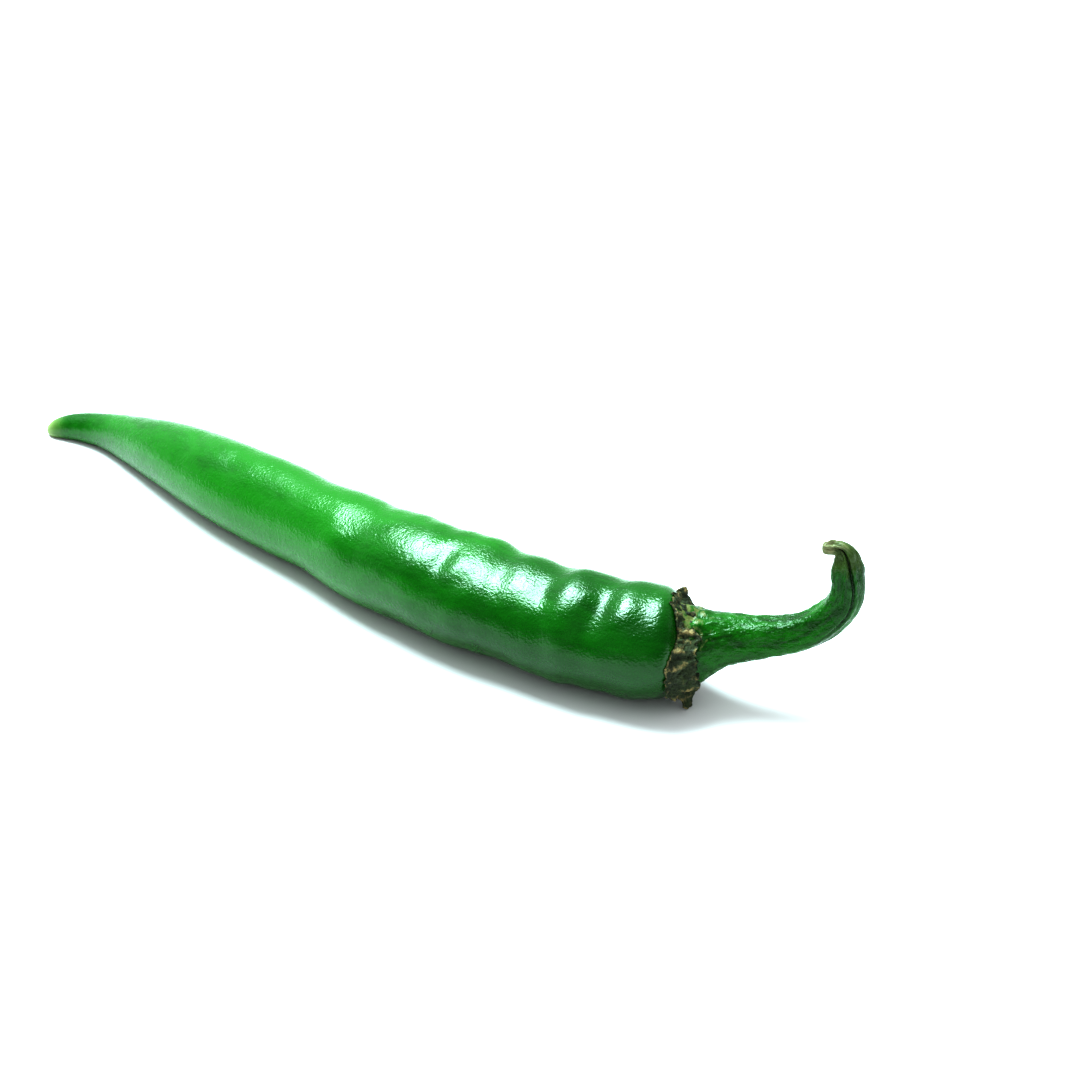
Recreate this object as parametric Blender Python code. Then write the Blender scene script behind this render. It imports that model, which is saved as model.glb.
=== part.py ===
"""A fresh long green chilli pepper, as picked, lying on its side.

It has three pieces: the pod, the calyx that caps its shoulder, and the hooked stem.
+X runs from the tip to the stem, +Z is up, and the object rests on the plane z = 0.
"""

import math

import bmesh
import bpy
from mathutils import Matrix, Vector

OBJECT_NAME = "chilli_pepper"
GAP = 0.0003  # left between pieces that touch

# Pod
POD_LENGTH = 0.1520  # along its curved centreline, from the tip to the crown of the shoulder
POD_DIAMETER = 0.0190  # of the full part, which the shares below refer to
TIP_ROUND = 0.0020  # length of the tip's round end
SHOULDER_ROUND = 0.0040  # length of the shoulder's dome
SHOULDER_SQUARENESS = 2.8  # 2 is a round dome, and more is flatter with a tighter edge
REST_DEPTH = 0.00030  # how much of the underside is flattened where it lies
POD_SIDES = 28
POD_ROWS = 60

# Share of the length from the tip, and heading of the centreline in degrees from +X.
POD_HEADINGS = (
    (0.00, 32.0),
    (0.05, 14.0),
    (0.12, -9.0),
    (0.20, -12.0),
    (0.32, -12.0),
    (0.45, -8.0),
    (0.60, -9.0),
    (0.72, -1.0),
    (0.84, 4.0),
    (0.93, 12.0),
    (0.98, 25.0),
    (1.00, 25.0),
)
# Share of the length from the tip, and radius as a share of half the full diameter.
POD_RADII = (
    (0.00, 0.14),
    (0.03, 0.25),
    (0.08, 0.35),
    (0.15, 0.50),
    (0.22, 0.64),
    (0.30, 0.75),
    (0.41, 0.85),
    (0.51, 0.85),
    (0.65, 0.97),
    (0.74, 1.00),
    (0.81, 0.98),
    (0.88, 1.00),
    (0.95, 1.02),
    (1.00, 1.01),
)
# Dents across the pod: share of the length, turn from straight up towards -Y in degrees,
# depth, half-length along the pod and half-width around it in degrees.
POD_DENTS = (
    (0.51, -30.0, 0.0006, 0.007, 50.0),
    (0.30, 70.0, 0.0004, 0.006, 50.0),
    (0.61, -20.0, 0.0005, 0.005, 50.0),
    (0.70, 110.0, 0.0004, 0.006, 50.0),
    (0.74, -20.0, 0.0006, 0.005, 60.0),
    (0.85, 20.0, 0.0009, 0.005, 60.0),
    (0.66, -105.0, 0.0007, 0.007, 45.0),
    (0.88, -110.0, 0.0006, 0.006, 50.0),
)

# Calyx
CALYX_INSET = 0.0004  # how far the tips of its lobes stay inside the shoulder's edge
CALYX_NOTCH = 0.0012  # how far the rim falls in between two lobes
CALYX_LOBES = 6
CALYX_RIM = 0.0006  # thickness at the rim
CALYX_BOSS = 0.0016  # thickness where the stem grows out of it
CALYX_SIDES = 36
CALYX_ROWS = 14

# Stem
STEM_BASE_DIAMETER = 0.0128
STEM_DIAMETER = 0.0066
STEM_END_DIAMETER = 0.0038
STEM_FLARE = 0.0090  # length over which the base narrows
STEM_SEAT = 0.0010  # length of the base that stands square to the calyx
STEM_REACH = 0.0258  # how far the hook stands out from the calyx
STEM_RISE = 0.0210  # how far the hook's top stands above the pod's centreline
STEM_SIDES_RESOLUTION = 4
# Centreline of the hook: share of the reach, and share of the rise.
STEM_ROUTE = (
    (0.00, 0.03),
    (0.23, 0.11),
    (0.47, 0.16),
    (0.71, 0.24),
    (0.88, 0.38),
    (0.98, 0.56),
    (1.00, 0.77),
    (0.94, 0.95),
    (0.84, 0.97),
)
STEM_POINTS = 26

GREEN = (0.030, 0.180, 0.025)
DRY_OLIVE = (0.095, 0.085, 0.030)
STEM_GREEN = (0.050, 0.150, 0.020)


def clear_scene():
    for obj in list(bpy.data.objects):
        bpy.data.objects.remove(obj)


def read_table(table, share):
    """Value at this share of a table of (share, value) pairs, on a smooth curve through them."""
    last = len(table) - 1
    i = 0
    while i < last - 1 and share > table[i + 1][0]:
        i += 1
    (start, value), (end, next_value) = table[i], table[i + 1]
    before = table[max(i - 1, 0)]
    after = table[min(i + 2, last)]
    span = end - start
    slope = (next_value - before[1]) / (end - before[0])
    next_slope = (after[1] - value) / (after[0] - start)
    t = (share - start) / span
    blend = 3 * t**2 - 2 * t**3
    straight = value * (1 - blend) + next_value * blend
    return straight + span * (slope * (t**3 - 2 * t**2 + t) + next_slope * (t**3 - t**2))


def centreline(steps=400):
    """Points and headings in plan, at equal steps along the pod."""
    points = [Vector((0.0, 0.0))]
    headings = []
    for k in range(steps + 1):
        headings.append(math.radians(read_table(POD_HEADINGS, k / steps)))
    for k in range(steps):
        middle = (headings[k] + headings[k + 1]) / 2
        step = Vector((math.cos(middle), math.sin(middle))) * POD_LENGTH / steps
        points.append(points[-1] + step)
    return points, headings


def on_centreline(line, share):
    """Point in plan and heading at this share of the length."""
    points, headings = line
    place = share * (len(points) - 1)
    k = min(int(place), len(points) - 2)
    part = place - k
    return points[k].lerp(points[k + 1], part), headings[k] + (headings[k + 1] - headings[k]) * part


def body_radius(share):
    """Radius of the pod before its ends are rounded."""
    return POD_DIAMETER / 2 * read_table(POD_RADII, share)


def dome(part, squareness):
    """Share of the full radius at this part of the way down a dome, 0 at its crown and 1 at its foot."""
    return (1 - (1 - part) ** squareness) ** (1 / squareness)


def end_rounding(share):
    from_tip = share * POD_LENGTH
    from_crown = (1 - share) * POD_LENGTH
    factor = 1.0
    if from_tip < TIP_ROUND:
        factor *= dome(from_tip / TIP_ROUND, 2)
    if from_crown < SHOULDER_ROUND:
        factor *= dome(from_crown / SHOULDER_ROUND, SHOULDER_SQUARENESS)
    return factor


def dent_depth(share, turn):
    total = 0.0
    for place, middle, depth, half_length, half_width in POD_DENTS:
        along = (share - place) * POD_LENGTH / half_length
        around = (math.degrees(turn) - middle + 180) % 360 - 180
        total += depth * math.exp(-(along**2) - (around / half_width) ** 2)
    return total


def axis_height(share):
    """Height of the centreline where the pod's underside lies on the surface."""
    return body_radius(share) - REST_DEPTH


def pod_point(line, share, turn):
    """Point on the pod's skin, with the turn from straight up towards -Y."""
    middle, heading = on_centreline(line, share)
    full = body_radius(share)
    radius = end_rounding(share) * (full - dent_depth(share, turn))
    side = Vector((math.sin(heading), -math.cos(heading)))
    plan = middle + side * radius * math.sin(turn)
    height = axis_height(share) + radius * math.cos(turn)
    return Vector((plan.x, plan.y, max(height, 0.0)))


def new_object(name, data, collection, parent, colour, roughness):
    obj = bpy.data.objects.new(name, data)
    collection.objects.link(obj)
    obj.parent = parent
    material = bpy.data.materials.new(name)
    material.use_nodes = True
    shader = material.node_tree.nodes["Principled BSDF"]
    shader.inputs["Base Color"].default_value = (*colour, 1.0)
    shader.inputs["Roughness"].default_value = roughness
    shader.inputs["Metallic"].default_value = 0.0
    data.materials.append(material)
    return obj


def sphere_mesh(name, sides, rows, place):
    """A UV sphere with each vertex moved by place(share from the lower pole, turn)."""
    shape = bmesh.new()
    bmesh.ops.create_uvsphere(shape, u_segments=sides, v_segments=rows, radius=1.0)
    for vertex in shape.verts:
        share = (1 + vertex.co.z) / 2
        turn = math.atan2(vertex.co.y, vertex.co.x)
        vertex.co = place(min(max(share, 0.0), 1.0), turn)
    bmesh.ops.recalc_face_normals(shape, faces=shape.faces)
    mesh = bpy.data.meshes.new(name)
    shape.to_mesh(mesh)
    shape.free()
    mesh.shade_smooth()
    return mesh


def add_pod(line, collection, parent):
    mesh = sphere_mesh("pod", POD_SIDES, POD_ROWS, lambda share, turn: pod_point(line, share, turn))
    return new_object("pod", mesh, collection, parent, GREEN, 0.25)


def crown_frame(line):
    """Matrix of the shoulder's crown: +Z along the stem's way out, +X level."""
    middle, heading = on_centreline(line, 1.0)
    out = Vector((math.cos(heading), math.sin(heading), 0.0))
    up = Vector((0.0, 0.0, 1.0))
    level = up.cross(out)
    turn = Matrix((level, up, out)).transposed().to_4x4()
    return Matrix.Translation((middle.x, middle.y, axis_height(1.0))) @ turn


def shoulder_fall(radius):
    """How far the shoulder's dome has fallen below its crown at this distance from its axis."""
    share = min(radius / body_radius(1.0), 1.0)
    return SHOULDER_ROUND * (1 - (1 - share**SHOULDER_SQUARENESS) ** (1 / SHOULDER_SQUARENESS))


def calyx_point(share, turn):
    """Point on the calyx: the sphere's lower half is its inner face, and the upper half its outer one."""
    notch = CALYX_NOTCH * (1 - math.cos(CALYX_LOBES * turn)) / 2
    reach = math.sqrt(max(1 - (2 * share - 1) ** 2, 0.0))
    radius = (body_radius(1.0) - CALYX_INSET - notch) * reach
    inner = GAP - shoulder_fall(max(radius - GAP, 0.0))
    thickness = CALYX_RIM + (CALYX_BOSS - CALYX_RIM) * (1 - reach**4)
    edge = math.sqrt(1 - reach**8)
    height = inner if share < 0.5 else inner + thickness * edge
    return Vector((radius * math.cos(turn), radius * math.sin(turn), height))


def add_calyx(crown, collection, parent):
    mesh = sphere_mesh("calyx", CALYX_SIDES, CALYX_ROWS, calyx_point)
    calyx = new_object("calyx", mesh, collection, parent, DRY_OLIVE, 0.8)
    calyx.matrix_local = crown
    return calyx


def stem_radius(distance, length):
    """Radius of the stem at this distance along it."""
    flare = (1 + math.cos(math.pi * min(distance / STEM_FLARE, 1.0))) / 2
    taper = distance / length
    shaft = STEM_DIAMETER * (1 - taper) + STEM_END_DIAMETER * taper
    return (shaft + (STEM_BASE_DIAMETER - STEM_DIAMETER) * flare) / 2


def stem_route():
    """Points on a smooth curve through the hook's route, in the crown's frame, after a square seat."""
    steps = len(STEM_ROUTE) - 1
    reaches = [(k / steps, reach) for k, (reach, rise) in enumerate(STEM_ROUTE)]
    rises = [(k / steps, rise) for k, (reach, rise) in enumerate(STEM_ROUTE)]
    seat = CALYX_BOSS + 2 * GAP
    start = seat + STEM_SEAT
    points = [Vector((0.0, STEM_RISE * STEM_ROUTE[0][1], seat))]
    for k in range(STEM_POINTS):
        share = k / (STEM_POINTS - 1)
        out = start + (STEM_REACH - start) * read_table(reaches, share)
        points.append(Vector((0.0, STEM_RISE * read_table(rises, share), out)))
    return points


def add_stem(crown, collection, parent):
    points = stem_route()
    lengths = [0.0]
    for a, b in zip(points, points[1:]):
        lengths.append(lengths[-1] + (b - a).length)
    curve = bpy.data.curves.new("stem", "CURVE")
    curve.dimensions = "3D"
    curve.bevel_depth = 1.0
    curve.bevel_resolution = STEM_SIDES_RESOLUTION
    curve.use_fill_caps = True
    spline = curve.splines.new("POLY")
    spline.points.add(len(points) - 1)
    for knot, point, distance in zip(spline.points, points, lengths):
        knot.co = (*point, 1.0)
        knot.radius = stem_radius(distance, lengths[-1])
    stem = new_object("stem", curve, collection, parent, STEM_GREEN, 0.5)
    stem.matrix_local = crown
    return stem


def centre_over_origin(root, pieces):
    """Moves the parent so that the box around the pieces stands centred on the origin."""
    bpy.context.view_layer.update()
    graph = bpy.context.evaluated_depsgraph_get()
    corners = []
    for piece in pieces:
        found = piece.evaluated_get(graph)
        mesh = found.to_mesh()
        corners.extend(found.matrix_world @ vertex.co for vertex in mesh.vertices)
        found.to_mesh_clear()
    for axis in (0, 1):
        values = [corner[axis] for corner in corners]
        root.location[axis] = -(min(values) + max(values)) / 2


def main():
    clear_scene()
    collection = bpy.data.collections.new(OBJECT_NAME)
    bpy.context.scene.collection.children.link(collection)
    root = bpy.data.objects.new(OBJECT_NAME, None)
    collection.objects.link(root)
    line = centreline()
    crown = crown_frame(line)
    pieces = [
        add_pod(line, collection, root),
        add_calyx(crown, collection, root),
        add_stem(crown, collection, root),
    ]
    centre_over_origin(root, pieces)


main()
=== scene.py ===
"""Builds the looks of a fresh long green chilli pepper that lies on its side.

It has three pieces, the pod, the calyx and the hooked stem, and a plain stage to show them on.
Each is made by its own operator from the settings in the sidebar, in metres, in the frame of the
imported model.
"""

import math

import bmesh
import bpy
import numpy as np
from bpy.props import FloatProperty, FloatVectorProperty, IntProperty, PointerProperty
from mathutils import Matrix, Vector


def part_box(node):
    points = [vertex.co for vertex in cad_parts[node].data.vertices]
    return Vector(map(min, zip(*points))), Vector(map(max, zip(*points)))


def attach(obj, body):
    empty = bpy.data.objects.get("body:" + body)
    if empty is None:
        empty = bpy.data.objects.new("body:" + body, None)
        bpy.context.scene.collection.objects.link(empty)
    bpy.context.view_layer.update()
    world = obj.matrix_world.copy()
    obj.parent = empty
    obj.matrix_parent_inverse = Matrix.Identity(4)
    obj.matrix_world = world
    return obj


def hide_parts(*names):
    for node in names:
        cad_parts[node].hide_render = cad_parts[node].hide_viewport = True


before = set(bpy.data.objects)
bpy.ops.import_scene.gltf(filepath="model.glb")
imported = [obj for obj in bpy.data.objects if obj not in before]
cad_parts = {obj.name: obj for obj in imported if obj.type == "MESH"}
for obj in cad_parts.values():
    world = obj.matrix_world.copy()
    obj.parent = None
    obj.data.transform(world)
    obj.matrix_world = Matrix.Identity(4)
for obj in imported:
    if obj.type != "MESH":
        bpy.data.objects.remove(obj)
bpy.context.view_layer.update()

bl_info = {
    "name": "Chilli Pepper",
    "version": (1, 0, 0),
    "blender": (4, 5, 0),
    "location": "View3D > Sidebar > Chilli",
    "description": "Builds a fresh long green chilli pepper lying on its side",
    "category": "Add Mesh",
}

LINE_STEPS = 400  # steps along the pod's centreline

# Share of the pod's length from the tip, and heading of the centreline in degrees from +X.
POD_HEADINGS = (
    (0.00, 32.0),
    (0.05, 14.0),
    (0.12, -9.0),
    (0.20, -12.0),
    (0.32, -12.0),
    (0.45, -8.0),
    (0.60, -9.0),
    (0.72, -1.0),
    (0.84, 4.0),
    (0.93, 12.0),
    (0.98, 25.0),
    (1.00, 25.0),
)
# Share of the pod's length from the tip, and radius as a share of half the full diameter.
POD_RADII = (
    (0.00, 0.14),
    (0.03, 0.25),
    (0.08, 0.35),
    (0.15, 0.50),
    (0.22, 0.64),
    (0.30, 0.75),
    (0.41, 0.83),
    (0.51, 0.88),
    (0.65, 0.97),
    (0.74, 1.00),
    (0.81, 0.98),
    (0.88, 1.00),
    (0.95, 1.02),
    (1.00, 1.01),
)
# Dents and, with a depth below 0, bulges across the pod: share of the length, turn from straight
# up towards -Y in degrees, depth, half-length along the pod and half-width around it in degrees.
POD_DENTS = (
    # the side that faces up and towards -Y
    (0.296, 15.0, 0.00016, 0.0025, 40.0),
    (0.382, 20.0, 0.00020, 0.0028, 40.0),
    (0.440, 40.0, 0.00030, 0.0070, 45.0),
    (0.510, -35.0, 0.00055, 0.0060, 35.0),
    (0.542, 35.0, -0.00022, 0.0065, 45.0),
    (0.590, 58.0, -0.00050, 0.0038, 20.0),
    (0.612, 35.0, 0.00042, 0.0042, 45.0),
    (0.608, -35.0, 0.00040, 0.0040, 35.0),
    (0.684, 30.0, -0.00020, 0.0040, 50.0),
    (0.700, -35.0, 0.00040, 0.0035, 35.0),
    (0.731, 35.0, 0.00042, 0.0020, 45.0),
    (0.762, -25.0, -0.00015, 0.0025, 35.0),
    (0.792, -25.0, 0.00045, 0.0024, 45.0),
    (0.822, -25.0, -0.00015, 0.0025, 35.0),
    (0.815, 70.0, 0.00045, 0.0035, 35.0),
    (0.848, -15.0, 0.00045, 0.0022, 40.0),
    (0.856, 40.0, 0.00065, 0.0024, 50.0),
    (0.885, 10.0, -0.00025, 0.0030, 60.0),
    (0.918, -35.0, 0.00035, 0.0040, 35.0),
    (0.918, 38.0, 0.00110, 0.0023, 50.0),
    (0.990, -35.0, 0.00030, 0.0035, 40.0),
    # the side that faces down and towards -Y
    (0.520, 140.0, 0.00035, 0.0050, 40.0),
    (0.592, 140.0, -0.00020, 0.0050, 40.0),
    (0.670, 120.0, 0.00035, 0.0045, 45.0),
    (0.740, 130.0, -0.00020, 0.0040, 40.0),
    (0.800, 135.0, 0.00040, 0.0035, 40.0),
    (0.870, 130.0, -0.00020, 0.0040, 45.0),
    (0.925, 110.0, 0.00025, 0.0030, 40.0),
    (0.992, 140.0, 0.00100, 0.0035, 45.0),
    # the side that faces +Y
    (0.410, -110.0, 0.00035, 0.0050, 45.0),
    (0.612, -100.0, 0.00045, 0.0040, 45.0),
    (0.660, -105.0, 0.00050, 0.0060, 45.0),
    (0.724, -115.0, 0.00040, 0.0045, 45.0),
    (0.816, -95.0, 0.00045, 0.0035, 45.0),
    (0.880, -110.0, 0.00055, 0.0045, 45.0),
    (0.945, -125.0, 0.00040, 0.0035, 40.0),
)

# The calyx's edge. The turn is about the crown's axis: 0 is level towards +Y, 90 is up and 180 is
# level towards -Y. Then come the edge's distance from the axis, and how far it lifts off the pod.
CALYX_EDGE = (
    (0.0, 0.0089, 0.0003),
    (22.0, 0.0080, 0.0002),
    (45.0, 0.0090, 0.0010),
    (62.0, 0.0097, 0.0020),
    (76.0, 0.0093, 0.0008),
    (90.0, 0.0094, 0.0003),
    (102.0, 0.0091, 0.0002),
    (114.0, 0.0080, 0.0002),
    (126.0, 0.0069, 0.0001),
    (136.0, 0.0066, 0.0001),
    (147.0, 0.0073, 0.0001),
    (158.0, 0.0086, 0.0002),
    (172.0, 0.0092, 0.0003),
    (190.0, 0.0091, 0.0003),
    (212.0, 0.0090, 0.0003),
    (226.0, 0.0084, 0.0004),
    (237.0, 0.0080, 0.0006),
    (246.0, 0.0094, 0.0038),
    (255.0, 0.0091, 0.0036),
    (263.0, 0.0078, 0.0006),
    (285.0, 0.0088, 0.0003),
    (305.0, 0.0074, 0.0002),
    (332.0, 0.0091, 0.0004),
)
# Outer face of the calyx: share of the way inwards, how far the face has come from the edge
# towards the collar, and how far it has risen from the edge to the collar's top.
CALYX_FACE = (
    (0.00, 0.00, 0.00),
    (0.15, 0.12, 0.05),
    (0.35, 0.35, 0.20),
    (0.55, 0.62, 0.48),
    (0.75, 0.86, 0.80),
    (0.90, 0.98, 0.97),
    (1.00, 1.06, 1.00),
)

# Where the calyx and the stem are pinched in between two lobes, as a turn and a half-width in
# degrees as above, and how much it draws in the collar, raises its top and draws in the stem.
PINCH_TURN = 133.0
PINCH_WIDTH = 18.0
PINCH_COLLAR = 0.0002
PINCH_RISE = 0.0008
PINCH_STEM = 0.0009
# Where the collar is tucked in under the stem, likewise, and how much it draws in and lowers it.
TUCK_TURN = 245.0
TUCK_WIDTH = 24.0
TUCK_COLLAR = 0.0006
TUCK_FALL = 0.0004
LEAN_TURN = 232.0  # where the leaning collar stands highest
COLLAR_RAG = 0.0004  # how uneven the collar's top is
EDGE_RAG = 0.00028  # how uneven the calyx's edge is
CALYX_SINK = 0.00005  # how far the calyx's inner face is sunk into the pod
INNER_LIMIT = 0.985  # share of the shoulder's radius past which the calyx doesn't follow its fall

STEM_SINK = 0.0012  # how far the stem's base is sunk below the collar's top
STEM_SPARE = 0.05  # share of the stem's rows that each of its closed ends takes
STEM_PATTERN_RADIUS = 0.0035  # radius that the patterns on the stem's skin are laid out on
STUB_LENGTH = 0.0066  # length of the stem's dried end
CHAFE_AND_SHEEN_FROM, CHAFE_AND_SHEEN_TO = 0.0006, 0.0080  # how far up the stem the pale rubbed patch, partly a painted highlight, fades out
# Centreline of the hook: share of the reach, and share of the rise.
STEM_ROUTE = (
    (0.00, 0.03),
    (0.23, 0.11),
    (0.47, 0.16),
    (0.71, 0.24),
    (0.88, 0.38),
    (0.98, 0.56),
    (0.99, 0.78),
    (0.95, 0.98),
    (0.84, 1.00),
)


class PodSettings(bpy.types.PropertyGroup):
    length: FloatProperty(
        name="Length",
        description="Along the curved centreline, from the tip to the crown of the shoulder",
        default=0.1520, min=0.05, max=0.4, unit="LENGTH", precision=4,
    )
    diameter: FloatProperty(
        name="Diameter", description="Across the full part of the pod",
        default=0.0190, min=0.005, max=0.06, unit="LENGTH", precision=4,
    )
    tip_round: FloatProperty(
        name="Tip Round", description="Length of the tip's round end",
        default=0.0020, min=0.0005, max=0.01, unit="LENGTH", precision=4,
    )
    shoulder_round: FloatProperty(
        name="Shoulder Round", description="Length of the shoulder's dome",
        default=0.0040, min=0.001, max=0.02, unit="LENGTH", precision=4,
    )
    shoulder_squareness: FloatProperty(
        name="Shoulder Squareness",
        description="2 is a round dome, and more is flatter with a tighter edge",
        default=2.8, min=1.5, max=6.0,
    )
    rest_depth: FloatProperty(
        name="Rest Depth", description="How much of the underside is flattened where it lies",
        default=0.0003, min=0.0, max=0.002, unit="LENGTH", precision=5,
    )
    lobes: FloatProperty(
        name="Lobes", description="How far the pod's three soft lobes stand out, as a share",
        default=0.040, min=0.0, max=0.15, subtype="FACTOR",
    )
    lobe_turn: FloatProperty(
        name="Lobe Turn", description="Where the first lobe lies, from straight up towards -Y",
        default=math.radians(-38.0), subtype="ANGLE",
    )
    wrinkle_depth: FloatProperty(
        name="Wrinkle Depth", description="Height of the skin's small folds near the shoulder",
        default=0.00010, min=0.0, max=0.001, unit="LENGTH", precision=5,
    )
    sides: IntProperty(
        name="Sides", description="Faces around the pod", default=144, min=16, max=192,
    )
    rows: IntProperty(
        name="Rows", description="Rows of faces along the pod", default=520, min=40, max=640,
    )
    skin: FloatVectorProperty(
        name="Skin", description="Main green of the skin",
        default=(0.009, 0.143, 0.006), subtype="COLOR", min=0.0, max=1.0,
    )
    deep_skin: FloatVectorProperty(
        name="Deep Skin", description="Darker green in the mottling and towards the stem",
        default=(0.001, 0.062, 0.001), subtype="COLOR", min=0.0, max=1.0,
    )
    tip_skin: FloatVectorProperty(
        name="Tip", description="Pale dried point at the tip",
        default=(0.400, 0.460, 0.180), subtype="COLOR", min=0.0, max=1.0,
    )
    roughness: FloatProperty(
        name="Roughness", description="Roughness of the waxy skin",
        default=0.24, min=0.0, max=1.0, subtype="FACTOR",
    )


class CalyxSettings(bpy.types.PropertyGroup):
    rim: FloatProperty(
        name="Rim", description="Thickness at the edge of the lobes",
        default=0.00035, min=0.0001, max=0.002, unit="LENGTH", precision=5,
    )
    collar_radius: FloatProperty(
        name="Collar Radius", description="Distance from the axis at which it meets the stem",
        default=0.0064, min=0.002, max=0.012, unit="LENGTH", precision=4,
    )
    collar_height: FloatProperty(
        name="Collar Height", description="Height of its top over the crown of the shoulder",
        default=0.0023, min=0.001, max=0.008, unit="LENGTH", precision=4,
    )
    collar_lean: FloatProperty(
        name="Collar Lean", description="How much higher it stands on its lower side towards -Y",
        default=0.0010, min=0.0, max=0.002, unit="LENGTH", precision=5,
    )
    crumple: FloatProperty(
        name="Crumple", description="Height of the folds of the dried tissue",
        default=0.00042, min=0.0, max=0.001, unit="LENGTH", precision=5,
    )
    sides: IntProperty(
        name="Sides", description="Faces around the calyx", default=300, min=24, max=400,
    )
    rows: IntProperty(
        name="Rows", description="Rows of faces from the edge to the middle", default=110,
        min=16, max=200,
    )
    dry: FloatVectorProperty(
        name="Dry Tissue", description="Dark olive of the dried tissue",
        default=(0.050, 0.072, 0.026), subtype="COLOR", min=0.0, max=1.0,
    )
    tan: FloatVectorProperty(
        name="Tan", description="Pale tan of the edges and of the folds that stand up",
        default=(0.250, 0.195, 0.085), subtype="COLOR", min=0.0, max=1.0,
    )


class StemSettings(bpy.types.PropertyGroup):
    base_diameter: FloatProperty(
        name="Base Diameter", description="Across the flare at the calyx",
        default=0.0136, min=0.003, max=0.03, unit="LENGTH", precision=4,
    )
    diameter: FloatProperty(
        name="Diameter", description="Across the stem above the flare",
        default=0.0070, min=0.001, max=0.02, unit="LENGTH", precision=4,
    )
    end_diameter: FloatProperty(
        name="End Diameter", description="Across the stem's dried end",
        default=0.0016, min=0.001, max=0.02, unit="LENGTH", precision=4,
    )
    flare: FloatProperty(
        name="Flare", description="Length over which the base loses most of its extra width",
        default=0.0050, min=0.001, max=0.04, unit="LENGTH", precision=4,
    )
    reach: FloatProperty(
        name="Reach", description="How far the hook stands out from the calyx",
        default=0.0254, min=0.005, max=0.08, unit="LENGTH", precision=4,
    )
    rise: FloatProperty(
        name="Rise", description="How far the hook's top stands above the pod's centreline",
        default=0.0210, min=0.0, max=0.06, unit="LENGTH", precision=4,
    )
    ridge: FloatProperty(
        name="Ridge", description="Height of the ribs along the stem",
        default=0.00016, min=0.0, max=0.001, unit="LENGTH", precision=5,
    )
    groove: FloatProperty(
        name="Groove", description="Depth of the groove up the side of the hook",
        default=0.00055, min=0.0, max=0.002, unit="LENGTH", precision=5,
    )
    sides: IntProperty(
        name="Sides", description="Faces around the stem", default=144, min=12, max=200,
    )
    rows: IntProperty(
        name="Rows", description="Rows of faces along the stem", default=360, min=24, max=500,
    )
    green: FloatVectorProperty(
        name="Green", description="Main green of the stem",
        default=(0.008, 0.122, 0.003), subtype="COLOR", min=0.0, max=1.0,
    )
    deep_green: FloatVectorProperty(
        name="Deep Green", description="Darker green between the ribs",
        default=(0.003, 0.040, 0.001), subtype="COLOR", min=0.0, max=1.0,
    )
    olive: FloatVectorProperty(
        name="Olive", description="Olive of the hook's ageing top",
        default=(0.048, 0.085, 0.018), subtype="COLOR", min=0.0, max=1.0,
    )
    # Pale patch on the flare's top: partly rubbed tissue, partly a painted highlight.
    chafed_and_sheen: FloatVectorProperty(
        name="Chafed", description="Pale green of the rough patch above the calyx",
        default=(0.120, 0.140, 0.045), subtype="COLOR", min=0.0, max=1.0,
    )
    cut: FloatVectorProperty(
        name="Dried End", description="Pale grey tan of the dried end",
        default=(0.270, 0.265, 0.145), subtype="COLOR", min=0.0, max=1.0,
    )


class StageSettings(bpy.types.PropertyGroup):
    floor_size: FloatProperty(
        name="Floor Size", description="Length of the floor's sides",
        default=4.0, min=0.5, max=20.0, unit="LENGTH",
    )
    floor_colour: FloatVectorProperty(
        name="Floor", description="Colour of the plain floor",
        default=(0.62, 0.60, 0.60), subtype="COLOR", min=0.0, max=1.0,
    )
    key_power: FloatProperty(
        name="Key Power", description="Power of the soft key light in watts",
        default=18.5, min=0.0,
    )
    key_colour: FloatVectorProperty(
        name="Key Colour", description="Colour of the key light",
        default=(0.74, 0.96, 1.0), subtype="COLOR", min=0.0, max=1.0,
    )
    key_size: FloatVectorProperty(
        name="Key Size", description="Width and length of the key light",
        default=(0.42, 0.44), size=2, subtype="XYZ", unit="LENGTH", min=0.01,
    )
    key_place: FloatVectorProperty(
        name="Key Place", description="Where the key light hangs, from the view's target",
        default=(-0.300, 0.022, 0.695), subtype="TRANSLATION", unit="LENGTH",
    )
    back_fill: FloatProperty(
        name="Back Fill", description="Brightness that is mirrored from behind the object",
        default=1.25, min=0.0,
    )
    front_fill: FloatProperty(
        name="Front Fill", description="Brightness that is mirrored from in front of the object",
        default=0.04, min=0.0,
    )
    low_fill: FloatProperty(
        name="Low Fill", description="Brightness that is mirrored from the horizon",
        default=0.95, min=0.0,
    )
    soft_fill: FloatProperty(
        name="Soft Fill", description="Brightness of the light that softens the shadows",
        default=1.6, min=0.0,
    )
    view_azimuth: FloatProperty(
        name="View Azimuth", description="Where the camera stands around the object, from -Y",
        default=math.radians(35.49), subtype="ANGLE",
    )
    view_elevation: FloatProperty(
        name="View Elevation", description="Height of the camera above the horizon",
        default=math.radians(30.0), subtype="ANGLE",
    )
    view_distance: FloatProperty(
        name="View Distance", description="From the camera to the point that it looks at",
        default=0.4125, min=0.05, unit="LENGTH", precision=4,
    )
    view_target: FloatVectorProperty(
        name="View Target", description="Point that the camera looks at",
        default=(0.0226, 0.0171, 0.0085), subtype="TRANSLATION", unit="LENGTH",
    )
    lens: FloatProperty(
        name="Lens", description="Focal length of the camera in millimetres",
        default=80.0, min=10.0,
    )
    gamma: FloatProperty(
        name="Gamma", description="Below 1 deepens the middle tones",
        default=0.66, min=0.1, max=4.0,
    )


# ---- Shapes


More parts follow.
